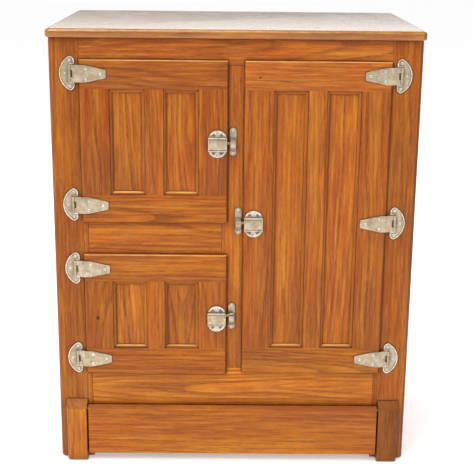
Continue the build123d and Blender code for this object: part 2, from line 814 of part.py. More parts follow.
def crescent(plane, inset=0.0):
    """The outline of the fixed leaf, whose two ends reach past the pin, above and below the strap."""
    bulge = 24.3 - inset
    lobe = 10.5 - inset
    lobe_start = 29.0
    lobe_radius = 12.0 - inset
    tip = 39.5 - inset
    inner = STRAP_HALF + 1.0 + inset
    waist = 6.0 - 3 * inset
    with BuildSketch(plane) as outline:
        with BuildLine():
            Polyline(
                (lobe, -lobe_start),
                (lobe, -inner),
                (waist, -inner),
                (waist, inner),
                (lobe, inner),
                (lobe, lobe_start),
            )
            RadiusArc((lobe, lobe_start), (0, tip), -lobe_radius)
            ThreePointArc((0, tip), (-bulge, 0), (0, -tip))
            RadiusArc((0, -tip), (lobe, -lobe_start), -lobe_radius)
        make_face()
    return outline.sketch


def hinge_plate(plane):
    """The crescent leaf on the post, with a raised rim and the middle knuckle."""
    leaf = LEAF_THICKNESS
    rim_height = 1.0
    rim_width = 2.2
    half = CENTRE_KNUCKLE_HALF
    with BuildPart() as plate:
        extrude(crescent(plane), amount=leaf + rim_height)
        sunk = crescent(plane.offset(leaf), rim_width)
        extrude(sunk, amount=2 * rim_height, mode=Mode.SUBTRACT)
        with Locations(plane * Location((0, 0, leaf))):
            under_strap = (Align.CENTER, Align.CENTER, Align.MIN)
            Box(16, 2 * STRAP_HALF + 1, 4, align=under_strap, mode=Mode.SUBTRACT)
        with Locations(plane * Location((0, 0, HINGE_AXIS_PROUD / 2))):
            Box(2 * KNUCKLE_RADIUS, 2 * half, HINGE_AXIS_PROUD)
        knuckle(plane, -half, half, KNUCKLE_RADIUS)
        knuckle(plane, -half, half, PIN_RADIUS, Mode.SUBTRACT)
        holes = screw_places(plane.offset(leaf), PLATE_SCREWS)
        screws(holes, head=PLATE_HEAD, mode=Mode.SUBTRACT, grow=SCREW_GAP)
    return plate.part


def strap_section(plane):
    """The strap seen along the pin: level at the pin, stepped up on to the door, level to the tip."""
    low = HINGE_AXIS_PROUD - STRAP_THICKNESS / 2
    top = LIP_FRONT
    end = HINGE_STRAP_LENGTH
    step = (11.0, 21.0)
    foot = plane * Location((0, -STRAP_HALF, 0))
    side = Plane(origin=foot.position, x_dir=plane.x_dir, z_dir=plane.y_dir)
    with BuildSketch(side) as section:
        with BuildLine():
            Polyline(
                (0, -low),
                (step[0], -low),
                (step[1], -top),
                (end, -top),
                (end, -top - STRAP_THICKNESS),
                (step[1] - 1, -top - STRAP_THICKNESS),
                (step[0] - 1, -low - STRAP_THICKNESS),
                (0, -low - STRAP_THICKNESS),
                close=True,
            )
        make_face()
    return section.sketch


def strap_outline(plane):
    """The strap seen from the front: parallel near the pin, then tapered to a rounded tip."""
    half = STRAP_HALF
    end = HINGE_STRAP_LENGTH
    tip = 9.4
    taper_start = 36.0
    with BuildSketch(plane) as outline:
        with BuildLine():
            Polyline(
                (-1, -half),
                (taper_start, -half),
                (end, -tip),
                (end, tip),
                (taper_start, half),
                (-1, half),
                close=True,
            )
        make_face()
        fillet(outline.vertices().group_by(Axis.X)[-1], 4)
    return outline.sketch


def hinge_strap(plane):
    """The moving leaf: a tapered strap with two knuckles either side of the plate's one."""
    half = STRAP_HALF
    slot = CENTRE_KNUCKLE_HALF + 0.5
    face = plane.offset(LIP_FRONT + STRAP_THICKNESS)
    with BuildPart() as strap:
        extrude(strap_section(plane), amount=2 * half)
        extrude(strap_outline(plane), amount=20, mode=Mode.INTERSECT)
        for low in (-half, slot):
            knuckle(plane, low, low + half - slot, KNUCKLE_RADIUS)
            knuckle(plane, low, low + half - slot, PIN_RADIUS + PIN_CLEARANCE, Mode.SUBTRACT)
        with Locations(plane * Location((2, 0, HINGE_AXIS_PROUD))):
            Box(10, 2 * slot, 2 * KNUCKLE_RADIUS + 1, mode=Mode.SUBTRACT)
        holes = screw_places(face, STRAP_SCREWS)
        screws(holes, head=STRAP_HEAD, mode=Mode.SUBTRACT, grow=SCREW_GAP)
    return strap.part


def make_hinges(doors):
    """Hinge leaves, the pins of the doors and of the kick flap, and the straps of each door."""
    planes = [door.strap_plane(z) for door in doors for z in door.hinges]
    with BuildPart() as hinge_plates:
        for plane in planes:
            add(hinge_plate(plane))
    save(hinge_plates, "hinge_plates")
    with BuildPart() as pins:
        for plane in planes:
            knuckle(plane, -STRAP_HALF - 1, STRAP_HALF + 1, PIN_RADIUS)
        for side in (-1, 1):
            flap_pin(side, BLOCK_X[0] + 2, FLAP_PIN_RADIUS, 36)
    save(pins, "hinge_and_flap_pins")
    for door in doors:
        with BuildPart() as straps:
            for z in door.hinges:
                add(hinge_strap(door.strap_plane(z)))
        save(straps, f"{door.name}_door_hinge_straps")


# ---- latches ------------------------------------------------------------------------------------


def make_latch_case(door):
    """An oval flange with a hollow box across its middle, open at the side where the lever comes out."""
    plane = door.latch_plane()
    mouth_x = door.hinge_side * (LATCH_WALL - LATCH_WIDTH / 2)
    mouth_height = 18.0
    recess = 1.6
    groove_z = 12.3
    groove = 0.7
    inner_height = LATCH_BOX_HEIGHT - 2 * LATCH_WALL - 1
    inner_width = LATCH_WIDTH - 2 * LATCH_WALL - 1
    with BuildPart() as latch_case:
        with BuildSketch(plane):
            SlotOverall(LATCH_HEIGHT, LATCH_WIDTH, rotation=90)
        extrude(amount=LATCH_FLANGE)
        with BuildSketch(plane):
            Rectangle(LATCH_WIDTH, LATCH_BOX_HEIGHT)
        extrude(amount=LATCH_BOX_DEPTH)
        face = latch_case.faces().sort_by(Axis.Y)[0]
        fillet(face.edges(), 2)
        with BuildSketch(plane.offset(LATCH_BOX_DEPTH)):
            with Locations((0, groove_z), (0, -groove_z)):
                Rectangle(LATCH_WIDTH, 2 * groove)
        extrude(amount=-groove, mode=Mode.SUBTRACT)
        with BuildSketch(plane):
            Rectangle(inner_width, inner_height)
        extrude(amount=LATCH_BOX_DEPTH - LATCH_WALL, mode=Mode.SUBTRACT)
        with BuildSketch(plane):
            with Locations((mouth_x, LEVER_RISE + 4)):
                Rectangle(3 * LATCH_WALL, mouth_height)
        extrude(amount=LEVER_PROUD[1] - LIP_FRONT + 1.5, mode=Mode.SUBTRACT)
        with BuildSketch(plane.offset(LATCH_FLANGE)):
            for end in (-1, 1):
                for side in (-1, 1):
                    with BuildLine():
                        Polyline(
                            (side * 4, end * 19.0),
                            (side * 15.5, end * 19.0),
                            (side * 8.5, end * 26.0),
                            close=True,
                        )
                    make_face()
        extrude(amount=-recess, mode=Mode.SUBTRACT)
        holes = screw_places(plane.offset(LATCH_FLANGE), LATCH_SCREWS)
        screws(holes, head=LATCH_HEAD, mode=Mode.SUBTRACT, grow=SCREW_GAP)
    save(latch_case, f"{door.name}_latch_case")


def make_lever(door):
    """The lever: a hub on the pivot inside the case and an arm with a flared tip that reaches the strike."""
    thickness = LEVER_PROUD[1] - LEVER_PROUD[0]
    hub_radius = 6.0
    arm_half = 3.2
    waist = 0.6
    flare = 1.0
    side = -door.hinge_side
    tip = side * LEVER_REACH
    flat = front_plane(door.latch_x(), LEVER_PROUD[0], door.latch_z)
    turned = flat * Location((0, 0, 0), (0, 0, side * door.lever_tilt))
    with BuildPart() as lever:
        with BuildSketch(Plane(turned)):
            Circle(hub_radius)
            with BuildLine():
                Polyline(
                    (0, LEVER_RISE - arm_half),
                    (tip - 10 * side, LEVER_RISE - arm_half + waist),
                    (tip - side, LEVER_RISE - arm_half),
                    (tip, LEVER_RISE + waist),
                    (tip - 2 * side, LEVER_RISE + arm_half + flare),
                    (tip - 11 * side, LEVER_RISE + arm_half - waist),
                    (0, LEVER_RISE + arm_half),
                    close=True,
                )
            make_face()
            Circle(LEVER_PIVOT_RADIUS + PIN_CLEARANCE, mode=Mode.SUBTRACT)
        extrude(amount=thickness)
        fillet(lever.faces().sort_by(Axis.Y)[0].outer_wire().edges(), 0.8)
    save(lever, f"{door.name}_latch_lever")


def strike(plane):
    """A long plate with a hooked nose; the lever lies in the hook and lifts out of it upwards."""
    width = STRIKE_SIZE[1] - 3
    nose_foot = -21.0
    nose_front = 19.5
    hook_foot = -5.8
    hook_tip = 5.0
    hook_back = LEVER_PROUD[0] - 0.8
    hook_front = LEVER_PROUD[1] + 0.7
    edge = plane * Location((-width / 2, 0, 0))
    side = Plane(origin=edge.position, x_dir=plane.y_dir, z_dir=plane.x_dir)
    with BuildPart() as keeper:
        with BuildSketch(plane):
            SlotOverall(STRIKE_SIZE[0], STRIKE_SIZE[1], rotation=90)
        extrude(amount=STRIKE_BASE)
        with BuildSketch(side):
            with BuildLine():
                Polyline(
                    (nose_foot, STRIKE_BASE - 1),
                    (nose_foot, 2 * STRIKE_BASE),
                    (nose_foot + 6, nose_front - 4.5),
                    (nose_foot + 13, nose_front),
                    (hook_tip, nose_front),
                    (hook_tip, hook_front),
                    (hook_foot, hook_front),
                    (hook_foot, hook_back),
                    (hook_tip, hook_back),
                    (hook_tip + 3, STRIKE_BASE - 1),
                    close=True,
                )
            make_face()
        extrude(amount=width)
        holes = screw_places(plane.offset(STRIKE_BASE), STRIKE_SCREWS)
        screws(holes, head=STRIKE_HEAD, mode=Mode.SUBTRACT, grow=SCREW_GAP)
    return keeper.part


def strike_plane(door):
    """The plane of a door's strike, on the front face of the centre stile."""
    x = door.latch_x() - door.hinge_side * STRIKE_REACH
    return front_plane(x, 0, door.latch_z + STRIKE_RISE)


def make_fasteners(doors):
    """Screws of the fixed hardware, and each door's screws with the rivet its lever turns on."""
    plate_places = []
    strike_places = []
    for door in doors:
        for z in door.hinges:
            leaf_face = door.strap_plane(z).offset(LEAF_THICKNESS)
            plate_places += screw_places(leaf_face, PLATE_SCREWS)
        strike_places += screw_places(strike_plane(door).offset(STRIKE_BASE), STRIKE_SCREWS)
    with BuildPart() as case_screws:
        screws(plate_places, head=PLATE_HEAD)
        screws(strike_places, head=STRIKE_HEAD)
    save(case_screws, "case_screws")
    for door in doors:
        strap_places = []
        for z in door.hinges:
            face = door.strap_plane(z).offset(LIP_FRONT + STRAP_THICKNESS)
            strap_places += screw_places(face, STRAP_SCREWS)
        with BuildPart() as fasteners:
            screws(strap_places, head=STRAP_HEAD)
            flange_face = door.latch_plane().offset(LATCH_FLANGE)
            screws(screw_places(flange_face, LATCH_SCREWS), head=LATCH_HEAD)
            with Locations(door.latch_plane()):
                Cylinder(
                    LEVER_PIVOT_RADIUS,
                    LATCH_BOX_DEPTH - LATCH_WALL,
                    align=(Align.CENTER, Align.CENTER, Align.MIN),
                )
        save(fasteners, f"{door.name}_door_fasteners")


def main():
    left = (OPENING_LEFT, STILE_LEFT)
    right = (STILE_RIGHT, OPENING_RIGHT)
    # Each lip is the overlap at the left, right, bottom and top of the opening.
    ice = Door(
        name="ice",
        opening_x=left,
        opening_z=(ICE_SILL, OPENING_TOP),
        lip=(12, 13, 12, 12),
        hinge_side=-1,
        hinges=(971, 660),
        latch_z=810,
        lever_tilt=0,
    )
    food = Door(
        name="food",
        opening_x=left,
        opening_z=(OPENING_BOTTOM, FOOD_HEAD),
        lip=(12, 13, 15, 12),
        hinge_side=-1,
        hinges=(502, 271),
        latch_z=378,
        lever_tilt=14,
    )
    provision = Door(
        name="provision",
        opening_x=right,
        opening_z=(OPENING_BOTTOM, OPENING_TOP),
        lip=(13, 12, 11, 12),
        hinge_side=1,
        hinges=(971, 620, 274),
        latch_z=618,
        lever_tilt=0,
    )
    doors = (ice, food, provision)
    make_top_board()
    make_front_posts()
    make_rear_posts()
    make_front_frame()
    make_side_walls()
    make_back_boards()
    make_insulation()
    make_liners()
    make_pan("drain_pan", RACK_PAN_X, RACK_PAN_Y, RACK_PAN_Z, sheet=1.2, outlet=9)
    make_ice_rack()
    make_drain_pipe()
    make_pan("drip_pan", *DRIP_PAN, sheet=1.5)
    make_shelves()
    make_foot_blocks()
    make_kick_flap()
    for door in doors:
        make_door_frame(door)
        make_door_panels(door)
        make_door_plug(door)
        make_latch_case(door)
        make_lever(door)
    make_hinges(doors)
    with BuildPart() as strikes:
        for door in doors:
            add(strike(strike_plane(door)))
    save(strikes, "strikes")
    make_fasteners(doors)


main()
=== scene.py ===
"""Looks of the oak icebox: worn golden oak, aged nickel hardware, zinc and galvanised insides."""

import json
import math
import random

import bmesh
import bpy
from mathutils import Matrix, Vector
from mathutils.bvhtree import BVHTree

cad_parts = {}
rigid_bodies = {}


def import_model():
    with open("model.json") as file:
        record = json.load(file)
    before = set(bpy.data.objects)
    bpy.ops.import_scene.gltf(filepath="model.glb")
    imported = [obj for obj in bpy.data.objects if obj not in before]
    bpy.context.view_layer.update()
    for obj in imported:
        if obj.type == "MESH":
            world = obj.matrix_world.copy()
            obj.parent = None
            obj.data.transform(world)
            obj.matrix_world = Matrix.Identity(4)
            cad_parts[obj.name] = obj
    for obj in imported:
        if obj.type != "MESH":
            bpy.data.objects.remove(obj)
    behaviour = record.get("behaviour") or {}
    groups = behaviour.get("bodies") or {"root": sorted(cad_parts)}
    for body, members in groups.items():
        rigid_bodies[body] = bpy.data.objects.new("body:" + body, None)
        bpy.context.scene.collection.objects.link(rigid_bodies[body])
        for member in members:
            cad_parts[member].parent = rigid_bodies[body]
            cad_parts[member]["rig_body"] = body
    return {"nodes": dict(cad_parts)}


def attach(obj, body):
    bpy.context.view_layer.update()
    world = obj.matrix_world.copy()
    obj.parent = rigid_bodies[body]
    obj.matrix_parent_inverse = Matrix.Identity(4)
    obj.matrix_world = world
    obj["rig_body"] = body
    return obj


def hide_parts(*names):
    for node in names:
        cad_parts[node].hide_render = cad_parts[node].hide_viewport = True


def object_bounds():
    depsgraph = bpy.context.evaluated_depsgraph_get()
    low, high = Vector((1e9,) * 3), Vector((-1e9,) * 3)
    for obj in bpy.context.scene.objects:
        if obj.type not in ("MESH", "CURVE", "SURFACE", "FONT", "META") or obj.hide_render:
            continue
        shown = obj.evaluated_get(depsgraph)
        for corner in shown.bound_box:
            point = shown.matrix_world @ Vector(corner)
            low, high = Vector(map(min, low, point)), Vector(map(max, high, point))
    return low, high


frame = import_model()
cad_low, cad_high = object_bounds()

random.seed(1912)

# ---- camera, floor and light --------------------------------------------------------------------

CAMERA_PLACE = (-0.0149, -2.8128, 1.2984)
CAMERA_YAW = 0.0084
CAMERA_PITCH = 0.2743
CAMERA_ROLL = 0.0105
CAMERA_LENS = 83.67
WORLD_LIGHT = 0.72
WORLD_REFLECTION = 0.11
FLOOR_REACH = 30.0
FLOOR_DROP = 0.0005  # below the feet, so that the two surfaces don't meet
FLOOR_GLOW = 0.34


def make_camera():
    """A camera in front of the icebox at standing height, tilted down."""
    forward = Vector((
        math.sin(CAMERA_YAW) * math.cos(CAMERA_PITCH),
        math.cos(CAMERA_YAW) * math.cos(CAMERA_PITCH),
        -math.sin(CAMERA_PITCH),
    ))
    level = Vector((math.cos(CAMERA_YAW), -math.sin(CAMERA_YAW), 0))
    upright = level.cross(forward)
    right = math.cos(CAMERA_ROLL) * level + math.sin(CAMERA_ROLL) * upright
    up = -math.sin(CAMERA_ROLL) * level + math.cos(CAMERA_ROLL) * upright
    data = bpy.data.cameras.new("camera")
    data.sensor_width = 36.0
    data.lens = CAMERA_LENS
    data.clip_end = 100.0
    camera = bpy.data.objects.new("camera", data)
    facing = Matrix((right, up, -forward)).transposed().to_4x4()
    camera.matrix_world = Matrix.Translation(CAMERA_PLACE) @ facing
    bpy.context.scene.collection.objects.link(camera)
    bpy.context.scene.camera = camera


def area_light(name, place, target, size, power, colour=(1.0, 1.0, 1.0)):
    """A rectangular soft light that faces a target."""
    data = bpy.data.lights.new(name, "AREA")
    data.shape = "RECTANGLE"
    data.size, data.size_y = size
    data.energy = power
    data.color = colour
    light = bpy.data.objects.new(name, data)
    light.location = place
    light.rotation_euler = (Vector(target) - Vector(place)).to_track_quat("-Z", "Y").to_euler()
    light.visible_camera = False
    bpy.context.scene.collection.objects.link(light)


def make_world():
    """White all round for shadowless light, but dim in reflections, like a studio's dark corners."""
    world = bpy.data.worlds.new("studio")
    world.use_nodes = True
    tree = world.node_tree
    background = tree.nodes["Background"]
    background.inputs["Color"].default_value = (1.0, 1.0, 1.0, 1.0)
    rays = tree.nodes.new("ShaderNodeLightPath")
    level = tree.nodes.new("ShaderNodeMapRange")
    level.inputs["To Min"].default_value = WORLD_LIGHT
    level.inputs["To Max"].default_value = WORLD_REFLECTION
    tree.links.new(rays.outputs["Is Glossy Ray"], level.inputs["Value"])
    tree.links.new(level.outputs[0], background.inputs["Strength"])
    bpy.context.scene.world = world


def make_lights():
    """A soft key from the upper left, a weak fill, one overhead and a panel behind.

    The panel's reflection whitens the top board.
    """
    middle = (cad_low + cad_high) / 2
    area_light("key", (-1.7, -2.6, 3.2), middle, (1.5, 1.5), 58, (1.0, 0.985, 0.96))
    area_light("fill", (2.4, -3.0, 1.6), middle, (1.6, 1.6), 10, (0.96, 0.98, 1.0))
    area_light("overhead", (-0.3, -1.2, 3.4), (0.0, -0.3, 0.6), (2.0, 0.8), 26)
    area_light("back_panel", (0.0, 3.6, 2.5), (0.0, 0.0, 1.0), (5.0, 1.7), 62)
    view = bpy.context.scene.view_settings
    view.view_transform = "Standard"
    view.look = "None"


# ---- node helpers -------------------------------------------------------------------------------


class Shader:
    """One material, with short calls for the nodes that its colour and relief are made of."""

    def __init__(self, name):
        self.material = bpy.data.materials.new(name)
        self.material.use_nodes = True
        self.tree = self.material.node_tree
        self.surface = self.tree.nodes["Principled BSDF"]

    def link(self, source, socket):
        """Joins an output to an input, or sets the input when the source is a plain value."""
        if isinstance(source, bpy.types.NodeSocket):
            self.tree.links.new(source, socket)
        elif source is not None:
            socket.default_value = source

    def attribute(self, name, output="Fac"):
        node = self.tree.nodes.new("ShaderNodeAttribute")
        node.attribute_name = name
        return node.outputs[output]

    def math(self, operation, a, b=None, c=None):
        node = self.tree.nodes.new("ShaderNodeMath")
        node.operation = operation
        for value, socket in zip((a, b, c), node.inputs):
            self.link(value, socket)
        return node.outputs[0]

    def vector_math(self, operation, a, b=None):
        node = self.tree.nodes.new("ShaderNodeVectorMath")
        node.operation = operation
        self.link(a, node.inputs[0])
        self.link(b, node.inputs[1])
        return node.outputs["Value"] if operation in ("LENGTH", "DOT_PRODUCT") else node.outputs[0]

    def split(self, vector):
        node = self.tree.nodes.new("ShaderNodeSeparateXYZ")
        self.link(vector, node.inputs[0])
        return node.outputs[0], node.outputs[1], node.outputs[2]

    def join(self, x, y, z):
        node = self.tree.nodes.new("ShaderNodeCombineXYZ")
        for value, socket in zip((x, y, z), node.inputs):
            self.link(value, socket)
        return node.outputs[0]

    def noise(self, vector, scale, detail=2.0, roughness=0.5):
        node = self.tree.nodes.new("ShaderNodeTexNoise")
        self.link(vector, node.inputs["Vector"])
        node.inputs["Scale"].default_value = scale
        node.inputs["Detail"].default_value = detail
        node.inputs["Roughness"].default_value = roughness
        return node.outputs["Fac"]

    def cells(self, vector, scale, output="Color"):
        node = self.tree.nodes.new("ShaderNodeTexVoronoi")
        self.link(vector, node.inputs["Vector"])
        node.inputs["Scale"].default_value = scale
        return node.outputs[output]

    def span(self, value, low, high, to_low=0.0, to_high=1.0, smooth=False):
        """Maps a range of a value on to another, without going past its ends."""
        node = self.tree.nodes.new("ShaderNodeMapRange")
        node.interpolation_type = "SMOOTHSTEP" if smooth else "LINEAR"
        for source, name in (
            (value, "Value"), (low, "From Min"), (high, "From Max"), (to_low, "To Min"), (to_high, "To Max"),
        ):
            self.link(source, node.inputs[name])
        return node.outputs[0]

    def ramp(self, value, stops):
        """A colour ramp from (place, colour) stops."""
        node = self.tree.nodes.new("ShaderNodeValToRGB")
        points = node.color_ramp.elements
        while len(points) < len(stops):
            points.new(1.0)
        for point, (place, colour) in zip(points, stops):
            point.position = place
            point.color = (*colour, 1.0)
        self.link(value, node.inputs[0])
        return node.outputs[0]

    def mix(self, factor, a, b, blend="MIX"):
        node = self.tree.nodes.new("ShaderNodeMix")
        node.data_type = "RGBA"
        node.blend_type = blend
        for source, name in ((factor, "Factor_Float"), (a, "A_Color"), (b, "B_Color")):
            socket = next(s for s in node.inputs if s.identifier == name)
            if isinstance(source, tuple):
                source = (*source, 1.0)
            self.link(source, socket)
        return next(s for s in node.outputs if s.identifier == "Result_Color")

    def crevice(self, distance):
        """How open a place is: 1 on an open face, towards 0 in a corner or groove."""
        node = self.tree.nodes.new("ShaderNodeAmbientOcclusion")
        node.samples = 8
        node.inputs["Distance"].default_value = distance
        return node.outputs["AO"]

    def position(self):
        node = self.tree.nodes.new("ShaderNodeTexCoord")
        return node.outputs["Object"]

    def normal(self):
        node = self.tree.nodes.new("ShaderNodeTexCoord")
        return node.outputs["Normal"]

    def relief(self, height, distance):
        """Bumps of a real height, in metres."""
        node = self.tree.nodes.new("ShaderNodeBump")
        node.inputs["Strength"].default_value = 1.0
        node.inputs["Distance"].default_value = distance
        self.link(height, node.inputs["Height"])
        self.link(node.outputs[0], self.surface.inputs["Normal"])

    def finish(self, **values):
        """Sets the surface's inputs, by name with underscores for spaces."""
        for name, value in values.items():
            self.link(value, self.surface.inputs[name.replace("_", " ")])
        return self.material


# ---- materials ----------------------------------------------------------------------------------


def grain_nodes(s):
    """A board's own coordinates: along the grain, across the face, and down from the pith of the tree."""
    along, across, deep = s.split(s.attribute("grain", "Vector"))
    side, depth, lean = s.split(s.attribute("pith", "Vector"))
    seed = s.attribute("seed")
    drift = s.math("ADD", along, seed)
    from_pith = s.math("ADD", s.math("ADD", deep, depth), s.math("MULTIPLY", along, lean))
    radius = s.vector_math("LENGTH", s.join(0.0, s.math("ADD", across, side), from_pith))

    def stretched(per_metre_along, per_metre_across, detail=2.0, roughness=0.55):
        """Noise drawn out along the grain."""
        place = s.join(
            s.math("MULTIPLY", drift, per_metre_along),
            s.math("MULTIPLY", across, per_metre_across),
            s.math("MULTIPLY", deep, per_metre_across),
        )
        return s.noise(place, 1.0, detail, roughness)

    return stretched, radius


GOLDEN = (0.520, 0.185, 0.008)
RUSSET = (0.400, 0.066, 0.004)
AMBER = (0.630, 0.238, 0.020)
RING_BROWN = (0.170, 0.042, 0.006)
PORE_AND_SHADE_BROWN = (0.095, 0.025, 0.006)
SHADE_BROWN = (0.270, 0.068, 0.012)
GRIME_AND_SHADE = (0.040, 0.015, 0.006)
RUBBED_AND_HIGHLIGHT = (0.700, 0.370, 0.115)
PAINTED_REFLECTION_TAN = (0.300, 0.218, 0.130)
KNOTS = ((-0.330, 0.377, 0.0050), (0.057, 0.966, 0.0026))  # x, z and radius, in metres


def oak(name, gloss=0.36, sheen=1.31, painted_reflection=0.0, relief=0.0003):
    """Stained oak under old varnish. Boards carry their grain, pith and tone as attributes."""
    s = Shader(name)
    light, red, figure = s.split(s.attribute("tone", "Vector"))
    stretched, radius = grain_nodes(s)
    place = s.position()

    # Growth rings of uneven width and strength, with pores opening in the early wood of each.
    radius = s.math("MULTIPLY_ADD", stretched(1.3, 7.0), 0.060, radius)
    radius = s.math("MULTIPLY_ADD", stretched(5.0, 30.0), 0.0045, radius)
    uneven = s.noise(s.join(s.math("MULTIPLY", radius, 36.0), 0.0, 0.0), 1.0, 2.0)
    rings = s.math("MULTIPLY_ADD", uneven, 2.4, s.math("MULTIPLY", radius, 120.0))
    ring = s.math("FRACT", rings)
    opening = s.span(ring, 0.0, 0.10, smooth=True)
    early = s.math("MULTIPLY", opening, s.span(ring, 0.12, 0.75, 1.0, 0.0, True))
    varied = s.noise(s.join(s.math("MULTIPLY", radius, 60.0), 3.0, 0.0), 1.0, 1.0)
    strength = s.span(varied, 0.30, 0.66, 0.15, 1.0)
    early = s.math("MULTIPLY", early, strength)
    dashes = s.span(stretched(60.0, 1500.0, 1.0), 0.50, 0.64, smooth=True)
    pore = s.math("MULTIPLY", dashes, s.math("MULTIPLY_ADD", early, 0.75, 0.25))
    fibre = stretched(9.0, 170.0, 4.0, 0.72)
    streak = stretched(1.8, 46.0, 3.0, 0.6)
    cloud = stretched(2.4, 11.0, 3.0, 0.6)
    blotch = s.noise(place, 5.0, 3.0, 0.6)
    glow = s.noise(s.vector_math("ADD", place, (7.3, 2.1, 5.2)), 8.0, 3.0, 0.6)

    base = s.mix(red, GOLDEN, RUSSET)
    base = s.mix(s.span(glow, 0.40, 0.66, 0.0, 0.50), base, RUSSET)
    base = s.mix(s.span(streak, 0.50, 0.68, 0.0, 0.62), base, AMBER)
    base = s.mix(s.span(streak, 0.47, 0.30, 0.0, 0.60), base, SHADE_BROWN)
    base = s.mix(s.span(cloud, 0.45, 0.66, 0.0, 0.60), base, SHADE_BROWN)
    base = s.mix(s.math("MULTIPLY", early, s.math("MULTIPLY_ADD", figure, 0.62, 0.10)), base, RING_BROWN)
    base = s.mix(s.span(fibre, 0.50, 0.70, 0.0, 0.55), base, AMBER)
    base = s.mix(s.span(fibre, 0.49, 0.28, 0.0, 0.62), base, RING_BROWN)
    base = s.mix(s.math("MULTIPLY", pore, 0.75), base, PORE_AND_SHADE_BROWN)
    base = s.mix(s.span(blotch, 0.48, 0.72, 0.0, 0.40), base, SHADE_BROWN)
    bright = s.math("MULTIPLY_ADD", light, 1.6, 0.32)
    base = s.mix(1.0, base, s.join(bright, bright, bright), "MULTIPLY")

    # Wear and painted light: rubbed arrises; paler upper edges, a painted highlight; darker corners, partly
    # grime and partly painted shade; right-facing sides in painted shade; worm holes and knots.
    rub = s.noise(place, 34.0, 3.0, 0.65)
    patchy = s.span(rub, 0.28, 0.62, 0.45, 1.0)
    open_face = s.span(s.crevice(0.005), 0.55, 0.92)
    edge = s.math("MULTIPLY", s.attribute("worn"), s.span(rub, 0.38, 0.62, 0.10, 0.85))
    base = s.mix(s.math("MULTIPLY", edge, open_face), base, RUBBED_AND_HIGHLIGHT)
    # Painted highlight: faces turned upwards on rounded arrises are lightened, as if lit from above, and less
    # so where nearby parts crowd them. On the plinth the same faces are darkened instead.
    tilt = s.split(s.normal())[2]
    rising = s.span(tilt, 0.20, 0.45, smooth=True)
    shoulder = s.math("MULTIPLY", rising, s.span(tilt, 0.85, 0.97, 1.0, 0.0, True))
    above_plinth = s.span(s.split(place)[2], 0.18, 0.20)
    ledge = s.math("MULTIPLY", shoulder, s.math("SUBTRACT", 1.0, above_plinth))
    exposed = s.crevice(0.030)
    shoulder = s.math("MULTIPLY", shoulder, above_plinth)
    shoulder = s.math("MULTIPLY", shoulder, s.span(exposed, 0.62, 0.92, 0.25, 1.0))
    highlight_range = (0.10, 0.45) if painted_reflection else (0.45, 0.95)
    base = s.mix(s.math("MULTIPLY", shoulder, s.span(rub, 0.30, 0.60, *highlight_range)), base, RUBBED_AND_HIGHLIGHT)
    base = s.mix(s.math("MULTIPLY", ledge, s.span(rub, 0.25, 0.65, 0.35, 0.75)), base, SHADE_BROWN)
    # Painted shade: faces turned to the right are darkened, as if turned away from a light on the left.
    lean_right = s.split(s.normal())[0]
    turning = s.span(lean_right, 0.22, 0.60, 0.0, 0.62, True)
    shaded_side = s.math("MULTIPLY", turning, s.span(lean_right, 0.9, 0.99, 1.0, 0.0))
    base = s.mix(shaded_side, base, PORE_AND_SHADE_BROWN)
    # Painted shade, with some grime: corners and recesses found by occlusion are darkened, broadly and then
    # closely. Board joints get the same dark line.
    corner = s.math("SUBTRACT", 1.0, open_face)
    corner_shade_and_joints = s.math("MAXIMUM", corner, s.math("MULTIPLY", s.attribute("joint"), 0.65))
    corner_shade_and_joints = s.math("MULTIPLY", corner_shade_and_joints, patchy)
    recess_shade = s.math("MULTIPLY", s.span(exposed, 0.45, 0.95, 0.50, 0.0), patchy)
    base = s.mix(recess_shade, base, SHADE_BROWN)
    base = s.mix(s.math("MULTIPLY", corner_shade_and_joints, 0.92), base, GRIME_AND_SHADE)
    holes = s.math(
        "MULTIPLY",
        s.span(s.cells(place, 11.0, "Distance"), 0.012, 0.026, 1.0, 0.0),
        s.span(s.split(s.cells(place, 11.0))[0], 0.74, 0.76),
    )
    holes = s.math("MULTIPLY", holes, s.span(tilt, 0.8, 0.9, 1.0, 0.0))
    x, _, z = s.split(place)
    for knot_x, knot_z, knot_size in KNOTS:
        aside = s.math("SUBTRACT", x, knot_x)
        above = s.math("MULTIPLY", s.math("SUBTRACT", z, knot_z), 0.7)
        away = s.vector_math("LENGTH", s.join(aside, 0.0, above))
        away = s.math("MULTIPLY_ADD", rub, knot_size, away)
        holes = s.math("MAXIMUM", holes, s.span(away, knot_size, 1.5 * knot_size, 1.0, 0.0))
    base = s.mix(s.math("MULTIPLY", holes, 0.85), base, GRIME_AND_SHADE)
    # Painted reflection: upward faces of the top board are paled towards a flat tan, as a glossy top
    # reflecting a bright surround looks.
    if painted_reflection:
        base = s.mix(s.span(tilt, 0.86, 0.99, 0.06, painted_reflection), base, PAINTED_REFLECTION_TAN)

    worn_varnish = s.noise(place, 13.0, 4.0, 0.62)
    uneven_gloss = 0.01 if painted_reflection else 0.16
    rough = s.span(worn_varnish, 0.34, 0.68, gloss - 0.05, gloss + uneven_gloss)
    rough = s.math("MULTIPLY_ADD", pore, uneven_gloss, rough)
    height = s.math("SUBTRACT", s.math("MULTIPLY", fibre, 0.22), s.math("MULTIPLY", pore, 0.8))
    height = s.math("MULTIPLY_ADD", early, -0.25, height)
    height = s.math("MULTIPLY_ADD", s.noise(place, 24.0, 2.0), 1.0, height)
    height = s.math("MULTIPLY_ADD", holes, -3.0, height)
    s.relief(height, relief)
    return s.finish(Base_Color=base, Roughness=rough, IOR=sheen)


